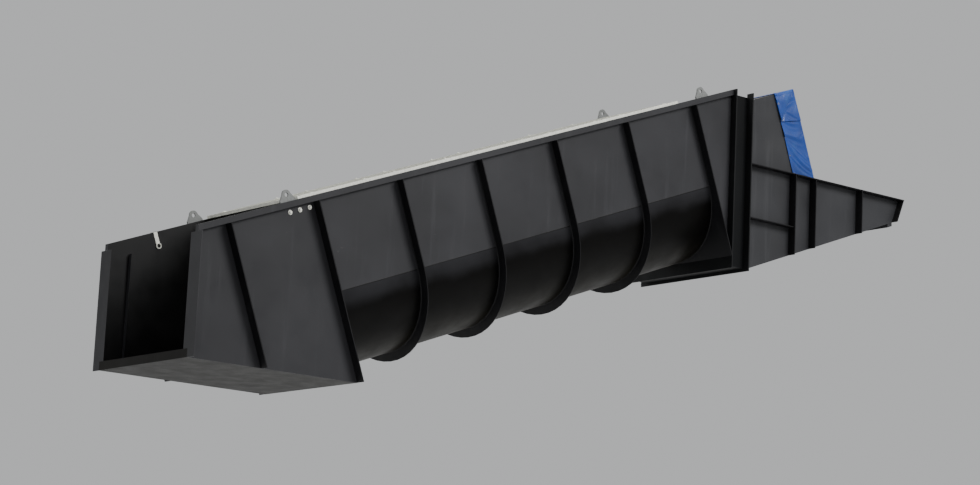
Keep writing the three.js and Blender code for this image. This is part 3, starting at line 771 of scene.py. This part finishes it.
def fold_tarpaulin():
    """The folded cloth's points, the same points on the flat rectangle, and its eyelets."""
    points, flat, eyelets = [], [], []
    for i in range(COLUMNS):
        across = i / (COLUMNS - 1) - 0.5
        for j in range(ROWS):
            down = j / (ROWS - 1)
            at, layer, face = folded(across * TARP_ACROSS, down * TARP_DOWN)
            low = min(1.0, max(0.0, (down * TARP_DOWN - TARP_RETURN) / TUCK_AT))
            phase = across * TARP_ACROSS * math.tau / FOLD_PITCH + 2.0 * noise.noise(at * 1.7)
            folds = FOLD_DEPTH * low * (1.0 + math.sin(phase))
            uneven = UNEVEN_DEPTH * noise.noise(at * 7.0) + folds
            points.append(SLOPE @ (at + face * (CLEAR_OF_STEEL + layer + uneven)))
            flat.append(Vector((across * TARP_CUT[0], down * TARP_CUT[1], 0.0)))
            if on_an_eyelet(i, j):
                eyelets.append(i * ROWS + j)
    return points, flat, eyelets


def cloth_stop(low, high, place=Matrix.Identity(4)):
    """A block that the cloth can't go through, used only while it sags."""
    shape = Shape()
    shape.block(low, high, place)
    stop = mesh_object("cloth_stop", shape.points, shape.faces)
    stop.modifiers.new("collision", "COLLISION")
    stop.collision.thickness_outer = 0.004
    stop.collision.thickness_inner = 0.05
    stop.collision.cloth_friction = 8
    return stop


def set_cloth(sheet):
    cloth = sheet.modifiers.new("cloth", "CLOTH")
    for settings, values in ((cloth.settings, CLOTH), (cloth.collision_settings, CLOTH_CONTACT)):
        for key, value in values.items():
            setattr(settings, key, value)
    cloth.settings.rest_shape_key = sheet.data.shape_keys.key_blocks["flat"]
    cloth.point_cache.frame_start = 1
    cloth.point_cache.frame_end = SAG_FRAMES


def let_sag(sheet, flat, eyelets):
    """Lets the folded cloth sag from its eyelets, and writes where it ends into its mesh."""
    sheet.shape_key_add(name="Basis")
    rest = sheet.shape_key_add(name="flat")
    for point, at in zip(rest.data, flat):
        point.co = at
    group = sheet.vertex_groups.new(name="eyelets")
    group.add(eyelets, 1.0, "REPLACE")
    stops = [cloth_stop(*HOUSING_STOP, SLOPE)]
    for near, far in RIM_SPANS:
        stops.append(cloth_stop((RIM_FROM, near, RIM_LEVELS[0]), (RIM_TO, far, RIM_LEVELS[1])))
    set_cloth(sheet)
    for step in range(1, SAG_FRAMES + 1):
        bpy.context.scene.frame_set(step)
    rested = sheet.evaluated_get(bpy.context.evaluated_depsgraph_get()).data
    places = [v.co.copy() for v in rested.vertices]
    sheet.modifiers.clear()
    sheet.shape_key_clear()
    sheet.vertex_groups.clear()
    for vertex, at in zip(sheet.data.vertices, places):
        vertex.co = at
    for stop in stops:
        bpy.data.objects.remove(stop)
    bpy.context.scene.frame_set(1)


def kept_in(i, j, margin):
    """The nearest column and row that are so many cells inside the cloth's edge."""
    return min(max(i, margin), COLUMNS - 1 - margin), min(max(j, margin), ROWS - 1 - margin)


def build_hem(sheet):
    """The doubled edge of the tarpaulin, a little proud of the cloth on both faces."""
    at = [(v.co.copy(), v.normal.copy()) for v in sheet.data.vertices]
    border = [(i, 0) for i in range(COLUMNS)]
    border += [(COLUMNS - 1, j) for j in range(1, ROWS)]
    border += [(i, ROWS - 1) for i in range(COLUMNS - 2, -1, -1)]
    border += [(0, j) for j in range(ROWS - 2, 0, -1)]
    points = []
    for i, j in border:
        inner_i, inner_j = kept_in(i, j, HEM_CELLS)
        edge, edge_face = at[i * ROWS + j]
        inner, inner_face = at[inner_i * ROWS + inner_j]
        points += [edge + edge_face * out for out in (HEM_HALF_THICK, -HEM_HALF_THICK)]
        points += [inner + inner_face * out for out in (-HEM_HALF_THICK, HEM_HALF_THICK)]
    faces = band(len(border), 4, closed=True)
    return new_piece("tarpaulin_hem", points, faces, TARP)


def build_eyelets(sheet, eyelets):
    shape = Shape()
    for index in eyelets:
        i, j = kept_in(*divmod(index, ROWS), 1)
        vertex = sheet.data.vertices[i * ROWS + j]
        shape.tube(EYELET_SECTION, EYELET_SIDES, facing(vertex.normal, vertex.co))
    shape.piece("tarpaulin_eyelets", DULL_ZINC, "galvanised")


def build_tarpaulin():
    points, flat, eyelets = fold_tarpaulin()
    faces = [
        (a, a + 1, a + ROWS + 1, a + ROWS)
        for i in range(COLUMNS - 1) for a in range(i * ROWS, i * ROWS + ROWS - 1)
    ]
    sheet = new_piece("tarpaulin_sheet", points, faces, TARP)
    sheet.data.polygons.foreach_set("use_smooth", [True] * len(sheet.data.polygons))
    let_sag(sheet, flat, eyelets)
    hem = build_hem(sheet)
    build_eyelets(sheet, eyelets)
    rounded = sheet.modifiers.new("rounded", "SUBSURF")
    rounded.levels = rounded.render_levels = 1
    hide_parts("tarpaulin")


build_tarpaulin()


# Floor and light

FLOOR_REACH, FLOOR_LEVEL = 150.0, -5.4
WORLD_COLOUR, WORLD_STRENGTH = (0.86, 0.87, 0.88, 1.0), 0.6
LIGHTS_AIM = (5.0, 0.0, 2.5)

# Name, place, size and power of each area light

LIGHTS = (
    ("key", (14.0, -24.0, 20.0), (16.0, 12.0), 6800.0),
    ("sky", (4.0, 2.0, 22.0), (24.0, 12.0), 3400.0),
    ("rim", (-16.0, 14.0, 12.0), (12.0, 8.0), 350.0),
)


def build_floor():
    corners = [
        (x * FLOOR_REACH, y * FLOOR_REACH, FLOOR_LEVEL)
        for x, y in ((-1, -1), (1, -1), (1, 1), (-1, 1))
    ]
    floor = mesh_object("floor", corners, [(0, 1, 2, 3)])
    wear_finish(floor, plain_floor("floor"))


def build_light():
    world = bpy.data.worlds.new("studio")
    world.use_nodes = True
    ground = world.node_tree.nodes["Background"]
    ground.inputs["Color"].default_value = WORLD_COLOUR
    ground.inputs["Strength"].default_value = WORLD_STRENGTH
    bpy.context.scene.world = world
    for name, at, size, power in LIGHTS:
        data = bpy.data.lights.new(name, "AREA")
        data.shape = "RECTANGLE"
        data.size, data.size_y = size
        data.energy = power
        light = put_in_scene(bpy.data.objects.new(name, data))
        light.matrix_world = facing(Vector(at) - Vector(LIGHTS_AIM), at)


build_floor()
build_light()
